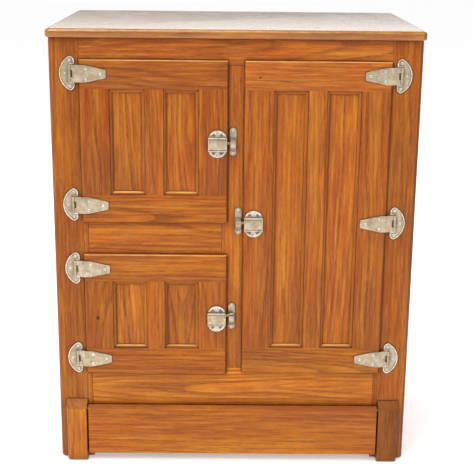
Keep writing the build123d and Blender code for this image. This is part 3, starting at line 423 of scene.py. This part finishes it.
def aged_nickel(name, shine=0.26):
    """Cast hardware in worn nickel plate: champagne grey, brown with tarnish in its hollows, near black in
    its tightest crevices from grime and painted shade, bright on its edges.
    """
    s = Shader(name)
    place = s.position()
    cloud = s.noise(place, 60.0, 4.0, 0.65)
    fine = s.noise(place, 520.0, 3.0, 0.6)
    patch = s.noise(place, 150.0, 3.0, 0.6)
    brushed = s.noise(s.vector_math("MULTIPLY", place, (9.0, 9.0, 0.7)), 150.0, 2.0, 0.6)
    colour = s.ramp(cloud, (
        (0.32, (0.350, 0.262, 0.160)),
        (0.50, (0.480, 0.378, 0.250)),
        (0.70, (0.620, 0.520, 0.375)),
    ))
    colour = s.mix(s.span(fine, 0.48, 0.72, 0.0, 0.50), colour, (0.290, 0.215, 0.125))
    colour = s.mix(s.span(brushed, 0.52, 0.70, 0.0, 0.35), colour, (0.800, 0.715, 0.580))
    colour = s.mix(s.span(patch, 0.58, 0.72, 0.0, 0.60, True), colour, (0.215, 0.145, 0.065))
    colour = s.mix(s.span(s.crevice(0.010), 0.60, 0.98, 0.70, 0.0), colour, (0.150, 0.095, 0.045))
    # Painted shade, with some grime: the tightest crevices, found by occlusion, go near black.
    colour = s.mix(s.span(s.crevice(0.0022), 0.40, 0.95, 0.95, 0.0), colour, (0.030, 0.018, 0.010))
    worn = s.math("MULTIPLY", s.attribute("worn"), s.span(fine, 0.3, 0.6, 0.65, 1.0))
    colour = s.mix(worn, colour, (1.000, 0.960, 0.870))
    rim = s.math("MULTIPLY", s.attribute("rim"), s.span(patch, 0.62, 0.40, 0.35, 0.95))
    colour = s.mix(rim, colour, (0.930, 0.870, 0.760))
    rough = s.span(cloud, 0.3, 0.7, shine + 0.18, shine)
    rough = s.math("MULTIPLY_ADD", s.span(patch, 0.55, 0.75), 0.2, rough)
    s.relief(s.math("MULTIPLY_ADD", patch, 0.6, fine), 0.00015)
    return s.finish(Base_Color=colour, Metallic=0.55, Roughness=rough)


def sheet_metal(name, light, dark, spangle, metallic, rough_low, rough_high):
    """Dull sheet metal with a crystal pattern, white oxide bloom and water marks."""
    s = Shader(name)
    place = s.position()
    crystal = s.cells(place, spangle)
    shade = s.vector_math("DOT_PRODUCT", crystal, (0.4, 0.35, 0.25))
    bloom = s.noise(place, 9.0, 5.0, 0.65)
    scuff = s.noise(s.vector_math("MULTIPLY", place, (1.0, 1.0, 8.0)), 60.0, 3.0, 0.6)
    colour = s.mix(s.span(shade, 0.2, 0.8), dark, light)
    colour = s.mix(s.span(bloom, 0.50, 0.72, 0.0, 0.55), colour, (0.60, 0.60, 0.57))
    colour = s.mix(s.span(scuff, 0.55, 0.72, 0.0, 0.35), colour, (0.17, 0.165, 0.155))
    # Painted shade: corners and folds found by occlusion are darkened.
    colour = s.mix(s.span(s.crevice(0.02), 0.35, 0.9, 0.7, 0.0), colour, (0.09, 0.08, 0.065))
    rough = s.span(s.math("MULTIPLY_ADD", shade, 0.4, bloom), 0.4, 1.0, rough_low, rough_high)
    s.relief(s.math("MULTIPLY_ADD", s.noise(place, 6.0, 2.0), 6.0, scuff), 0.0003)
    return s.finish(Base_Color=colour, Metallic=metallic, Roughness=rough)


def plain_metal(name, colour_low, colour_high, rough, metallic=0.9):
    """Drawn or turned metal: bright, with fine marks and light tarnish."""
    s = Shader(name)
    place = s.position()
    tarnish = s.noise(place, 90.0, 4.0, 0.6)
    marks = s.noise(place, 700.0, 2.0, 0.6)
    colour = s.mix(s.span(tarnish, 0.35, 0.7), colour_high, colour_low)
    # Painted shade: fine crevices and slots found by occlusion are darkened.
    colour = s.mix(s.span(s.crevice(0.0012), 0.2, 0.7, 0.9, 0.0), colour, (0.05, 0.04, 0.03))
    s.relief(marks, 0.00006)
    return s.finish(
        Base_Color=colour, Metallic=metallic, Roughness=s.span(tarnish, 0.3, 0.7, rough, rough + 0.2)
    )


def pine(name, base_light, base_dark):
    """Unfinished softwood, greyed by age, with darker latewood lines."""
    s = Shader(name)
    light = s.split(s.attribute("tone", "Vector"))[0]
    stretched, radius = grain_nodes(s)
    radius = s.math("MULTIPLY_ADD", stretched(1.8, 9.0), 0.05, radius)
    ring = s.math("FRACT", s.math("MULTIPLY", radius, 170.0))
    late = s.math("MULTIPLY", s.span(ring, 0.35, 0.88), s.span(ring, 0.9, 1.0, 1.0, 0.0))
    fibre = stretched(14.0, 500.0, 3.0, 0.6)
    dirt = s.noise(s.position(), 6.0, 4.0, 0.6)
    colour = s.mix(s.math("MULTIPLY", late, 0.65), base_light, base_dark)
    colour = s.mix(s.span(fibre, 0.4, 0.75, 0.0, 0.45), colour, base_dark)
    colour = s.mix(s.span(dirt, 0.42, 0.72, 0.0, 0.6), colour, (0.155, 0.105, 0.065))
    bright = s.math("MULTIPLY_ADD", light, 0.9, 0.55)
    colour = s.mix(1.0, colour, s.join(bright, bright, bright), "MULTIPLY")
    # Painted shade: corners and recesses found by occlusion are darkened.
    colour = s.mix(s.span(s.crevice(0.015), 0.35, 0.92, 0.85, 0.0), colour, (0.035, 0.024, 0.016))
    s.relief(s.math("MULTIPLY_ADD", late, 0.5, fibre), 0.0003)
    return s.finish(Base_Color=colour, Roughness=s.span(fibre, 0.3, 0.7, 0.62, 0.82))


def cork_board(name):
    """Pressed cork and felt packing between the walls."""
    s = Shader(name)
    place = s.position()
    crumbs = s.cells(place, 260.0)
    shade = s.vector_math("DOT_PRODUCT", crumbs, (0.4, 0.35, 0.25))
    colour = s.mix(s.span(shade, 0.15, 0.85), (0.10, 0.055, 0.026), (0.33, 0.20, 0.10))
    s.relief(s.cells(place, 260.0, "Distance"), 0.0006)
    return s.finish(Base_Color=colour, Roughness=s.span(shade, 0.0, 1.0, 0.85, 0.98))


# ---- boards and hardware, refined from the CAD solids ------------------------------------------

EASE = 0.0009  # how far a worn corner is taken back, in metres
EASE_STEPS = 2
EASE_PROFILE = 0.6
SHORTEST_EASED = 2.2  # edges shorter than this many eases stay sharp
WOOD_CORNER = 28.0  # corners sharper than this are eased, in degrees
METAL_CORNER = 32.0
SHADE_ANGLE = 35.0  # edges sharper than this are shaded as edges, in degrees
MERGE_DISTANCE = 0.00002
FLAT_ANGLE = 0.5
JOINT_REACH = 0.0016  # boards closer than this count as meeting
LEAF_RIM = (0.0005, 0.0015)  # the rim of a hinge leaf stands this far out of its sunk face
LATCH_FLANGE = (-0.0098, -0.0082)  # the flange of a latch case lies this far behind its box
GRAIN_AXES = {"x": (0, 2, 1), "y": (1, 2, 0), "z": (2, 0, 1)}


def islands(mesh):
    """The connected sets of faces of a mesh: one for each board or fitting in it."""
    left = set(mesh.faces)
    groups = []
    while left:
        stack = [left.pop()]
        group = []
        while stack:
            face = stack.pop()
            group.append(face)
            for edge in face.edges:
                for other in edge.link_faces:
                    if other in left:
                        left.remove(other)
                        stack.append(other)
        groups.append(group)
    return groups


def refined(node, corner):
    """A copy of a CAD node whose sharp outer corners are eased, as handling and wear leave them."""
    source = frame["nodes"][node]
    mesh = source.data.copy()
    mesh.materials.clear()
    work = bmesh.new()
    work.from_mesh(mesh)
    bmesh.ops.remove_doubles(work, verts=work.verts, dist=MERGE_DISTANCE)
    flat = math.radians(FLAT_ANGLE)
    bmesh.ops.dissolve_limit(work, angle_limit=flat, verts=work.verts, edges=work.edges)
    work.normal_update()
    worn = work.faces.layers.float.new("worn")
    sharp = [
        e for e in work.edges
        if len(e.link_faces) == 2 and e.calc_face_angle_signed(0.0) > math.radians(corner)
        and e.calc_length() > SHORTEST_EASED * EASE
    ]
    made = bmesh.ops.bevel(
        work, geom=sharp, offset=EASE, offset_type="OFFSET", segments=EASE_STEPS, profile=EASE_PROFILE,
        affect="EDGES", clamp_overlap=True, loop_slide=True,
    )
    for face in made["faces"]:
        face[worn] = 1.0
    return source, mesh, work


def surface_trees(nodes):
    """A search tree over the surface of each of several CAD nodes."""
    trees = {}
    for node in nodes:
        work = bmesh.new()
        work.from_mesh(frame["nodes"][node].data)
        trees[node] = BVHTree.FromBMesh(work)
        work.free()
    return trees


def mark_joints(node, work, trees):
    """Where a board meets a neighbour its arris is a thin dark line instead of a rubbed edge."""
    worn = work.faces.layers.float["worn"]
    joint = work.faces.layers.float.new("joint")
    others = [tree for name, tree in trees.items() if name != node]
    for face in work.faces:
        if face[worn] > 0.5:
            middle = face.calc_center_median()
            if any(tree.find_nearest(middle, JOINT_REACH)[0] for tree in others):
                face[worn] = 0.0
                face[joint] = 1.0


def mark_rims(work, low, high, polish, rounded=False):
    """Marks raised or polished faces: those whose rise over the broadest face is in a range, and rounds."""
    rim = work.faces.layers.float.new("rim")
    facing = [face for face in work.faces if face.normal.y < -0.99]
    areas = {}
    for face in facing:
        level = round(face.calc_center_median().y, 4)
        areas[level] = areas.get(level, 0.0) + face.calc_area()
    broadest = max(areas, key=areas.get)
    for face in facing:
        if low < broadest - face.calc_center_median().y < high:
            face[rim] = polish
    for face in work.faces:
        if rounded and -0.97 < face.normal.y < -0.25:
            face[rim] = 0.8


def place_piece(node, source, mesh, work, material, suffix):
    """Puts a refined mesh into the scene in the place of its CAD node."""
    for face in work.faces:
        face.smooth = True
    for edge in work.edges:
        if len(edge.link_faces) == 2 and edge.calc_face_angle(0.0) > math.radians(SHADE_ANGLE):
            edge.smooth = False
    work.to_mesh(mesh)
    work.free()
    piece = bpy.data.objects.new(f"{node}_{suffix}", mesh)
    bpy.context.scene.collection.objects.link(piece)
    mesh.materials.append(material)
    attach(piece, source["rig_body"])
    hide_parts(node)
    return piece


def board_piece(node, material, axis, tones, trees):
    """A wooden node. Its boards, in order from the left and from below, take the tones in turn.

    The grain runs along the given axis, or along each board's longest side when that is None.
    """
    source, mesh, work = refined(node, WOOD_CORNER)
    mark_joints(node, work, trees)
    layers = work.verts.layers
    grain = layers.float_vector.new("grain")
    pith = layers.float_vector.new("pith")
    tone = layers.float_vector.new("tone")
    seed = layers.float.new("seed")
    boards = []
    for group in islands(work):
        corners = {v for face in group for v in face.verts}
        low = Vector(min(v.co[i] for v in corners) for i in range(3))
        high = Vector(max(v.co[i] for v in corners) for i in range(3))
        middle = (low + high) / 2
        size = high - low
        run = axis or "xyz"[max(range(3), key=lambda i: size[i])]
        place = (round(middle.x, 3), round(middle.z, 3), round(middle.y, 3))
        boards.append((place, GRAIN_AXES[run], middle, corners))
    boards.sort(key=lambda board: board[0])
    for number, (_, order, middle, corners) in enumerate(boards):
        light, red, figure = tones[number % len(tones)]
        flat_sawn = Vector((
            random.uniform(-0.02, 0.02),
            random.uniform(0.02, 0.05),
            random.choice((-1, 1)) * 0.07,
        ))
        rift_sawn = Vector((
            random.choice((-1, 1)) * random.uniform(0.10, 0.18),
            0.12,
            random.uniform(-0.02, 0.02),
        ))
        centre = rift_sawn.lerp(flat_sawn, min(1.0, figure))
        start = random.uniform(0, 40)
        for vert in corners:
            local = vert.co - middle
            vert[grain] = Vector(local[i] for i in order)
            vert[pith] = centre
            vert[tone] = Vector((light, red, figure))
            vert[seed] = start
    return place_piece(node, source, mesh, work, material, "wood")


def make_floor():
    """A pale seamless studio floor."""
    mesh = bpy.data.meshes.new("floor")
    corners = [(x * FLOOR_REACH, y * FLOOR_REACH, 0) for x, y in ((-1, -1), (1, -1), (1, 1), (-1, 1))]
    mesh.from_pydata(corners, [], [(0, 1, 2, 3)])
    floor = bpy.data.objects.new("floor", mesh)
    floor.location.z = -FLOOR_DROP
    bpy.context.scene.collection.objects.link(floor)
    s = Shader("studio_floor")
    shade = s.noise(s.position(), 3.0, 2.0)
    colour = s.mix(shade, (0.93, 0.93, 0.93), (0.95, 0.95, 0.95))
    white = (1.0, 1.0, 1.0, 1.0)
    s.finish(Base_Color=colour, Roughness=0.9, Emission_Color=white, Emission_Strength=FLOOR_GLOW)
    mesh.materials.append(s.material)


make_camera()
make_world()
make_lights()
make_floor()

frame_oak = oak("oak_frame")
top_oak = oak("oak_top", gloss=0.27, sheen=1.66, painted_reflection=0.80, relief=0.0)

# Each board's lightness, redness and strength of figure.
BOARDS = {
    "top_board": ("x", "oak_top", [(0.33, 0.00, 0.55)]),
    "front_posts": ("z", "oak_frame", [(0.31, 0.55, 0.15), (0.35, 0.63, 0.15)]),
    "rear_posts": ("z", "oak_frame", [(0.40, 0.69, 0.30)]),
    "jamb_strips": ("z", "oak_frame", [(0.36, 0.61, 0.20)]),
    "centre_stile": ("z", "oak_frame", [(0.45, 0.58, 0.30)]),
    "top_rail": ("x", "oak_rails", [(0.51, 0.71, 0.80)]),
    "middle_rail": ("x", "oak_rails", [(0.48, 0.52, 0.60)]),
    "bottom_rail": ("x", "oak_rails", [(0.64, 0.00, 1.00)]),
    "side_rails": ("y", "oak_rails", [(0.42, 0.61, 0.50)]),
    "side_panels": ("z", "oak_panels", [(0.42, 0.58, 0.80), (0.45, 0.54, 0.70)]),
    "foot_blocks": ("z", "oak_frame", [(0.53, 0.05, 0.30), (0.14, 0.54, 0.20)]),
    "kick_flap": ("x", "oak_frame", [(0.46, 0.45, 0.15)]),
    "ice_door_rails": ("x", "oak_rails", [(0.39, 0.60, 0.90), (0.34, 0.63, 0.60)]),
    "ice_door_stiles": ("z", "oak_frame", [(0.27, 0.88, 0.40), (0.41, 0.65, 0.30), (0.33, 0.75, 0.40)]),
    "ice_door_panels": ("z", "oak_panels", [(0.35, 0.52, 0.45), (0.42, 0.63, 0.80)]),
    "ice_door_mouldings": (None, "oak_panels", [(0.38, 0.61, 0.20)]),
    "food_door_rails": ("x", "oak_rails", [(0.42, 0.53, 0.70), (0.42, 0.37, 0.60)]),
    "food_door_stiles": ("z", "oak_frame", [(0.31, 0.56, 0.50), (0.42, 0.58, 0.30), (0.40, 0.55, 0.40)]),
    "food_door_panels": ("z", "oak_panels", [(0.49, 0.45, 0.60), (0.39, 0.56, 0.85)]),
    "food_door_mouldings": (None, "oak_panels", [(0.38, 0.58, 0.20)]),
    "provision_door_rails": ("x", "oak_rails", [(0.38, 0.51, 0.90), (0.52, 0.55, 0.55)]),
    "provision_door_stiles": ("z", "oak_frame", [(0.40, 0.72, 0.45), (0.41, 0.56, 0.50), (0.35, 0.69, 0.30)]),
    "provision_door_panels": ("z", "oak_panels", [(0.44, 0.45, 0.30), (0.50, 0.58, 0.50)]),
    "provision_door_mouldings": (None, "oak_panels", [(0.38, 0.58, 0.20)]),
}
board_trees = surface_trees(BOARDS)
for node, (axis, slot_name, tones) in BOARDS.items():
    material = top_oak if slot_name == "oak_top" else frame_oak
    board_piece(node, material, axis, tones, board_trees)

old_pine = pine("pine_boards", (0.50, 0.34, 0.19), (0.30, 0.165, 0.075))
PINE_TONES = [(0.50, 0.5, 0.6), (0.42, 0.5, 0.4), (0.56, 0.5, 0.8), (0.46, 0.5, 0.5)]
for node, axis in (("back_boards", "x"), ("floor_boards", "x"), ("partition", "z"), ("ice_deck", "y")):
    board_piece(node, old_pine, axis, PINE_TONES, {})
rack_pine = pine("rack_wood", (0.36, 0.24, 0.13), (0.20, 0.12, 0.06))
board_piece("ice_rack", rack_pine, "y", PINE_TONES, {})

nickel = aged_nickel("nickel_plate")
for node in frame["nodes"]:
    if node.endswith(("hinge_plates", "hinge_straps", "latch_case", "latch_lever", "strikes")):
        source, mesh, work = refined(node, METAL_CORNER)
        if node == "hinge_plates":
            mark_rims(work, *LEAF_RIM, polish=1.0)
        elif node.endswith("latch_case"):
            mark_rims(work, *LATCH_FLANGE, polish=0.65, rounded=True)
        elif node.endswith("latch_lever"):
            mark_rims(work, 0.0, 0.0, polish=0.0, rounded=True)
        piece = place_piece(node, source, mesh, work, nickel, "metal")

CARRIED = {
    "screw_metal": plain_metal("screw_metal", (0.50, 0.42, 0.32), (0.84, 0.78, 0.68), 0.24, 0.5),
    "steel": plain_metal("steel", (0.28, 0.25, 0.21), (0.48, 0.46, 0.43), 0.32),
    "tinned_wire": plain_metal("tinned_wire", (0.44, 0.43, 0.41), (0.70, 0.70, 0.69), 0.25),
    "zinc_sheet": sheet_metal("zinc_sheet", (0.46, 0.47, 0.48), (0.30, 0.31, 0.32), 26.0, 0.6, 0.42, 0.62),
    "galvanised_sheet": sheet_metal(
        "galvanised_sheet", (0.50, 0.51, 0.52), (0.33, 0.34, 0.35), 75.0, 0.7, 0.34, 0.56
    ),
    "insulation": cork_board("insulation"),
}
for node, item in frame["nodes"].items():
    for slot in item.material_slots:
        if slot.material and slot.material.name.split(".")[0] in CARRIED:
            slot.material = CARRIED[slot.material.name.split(".")[0]]
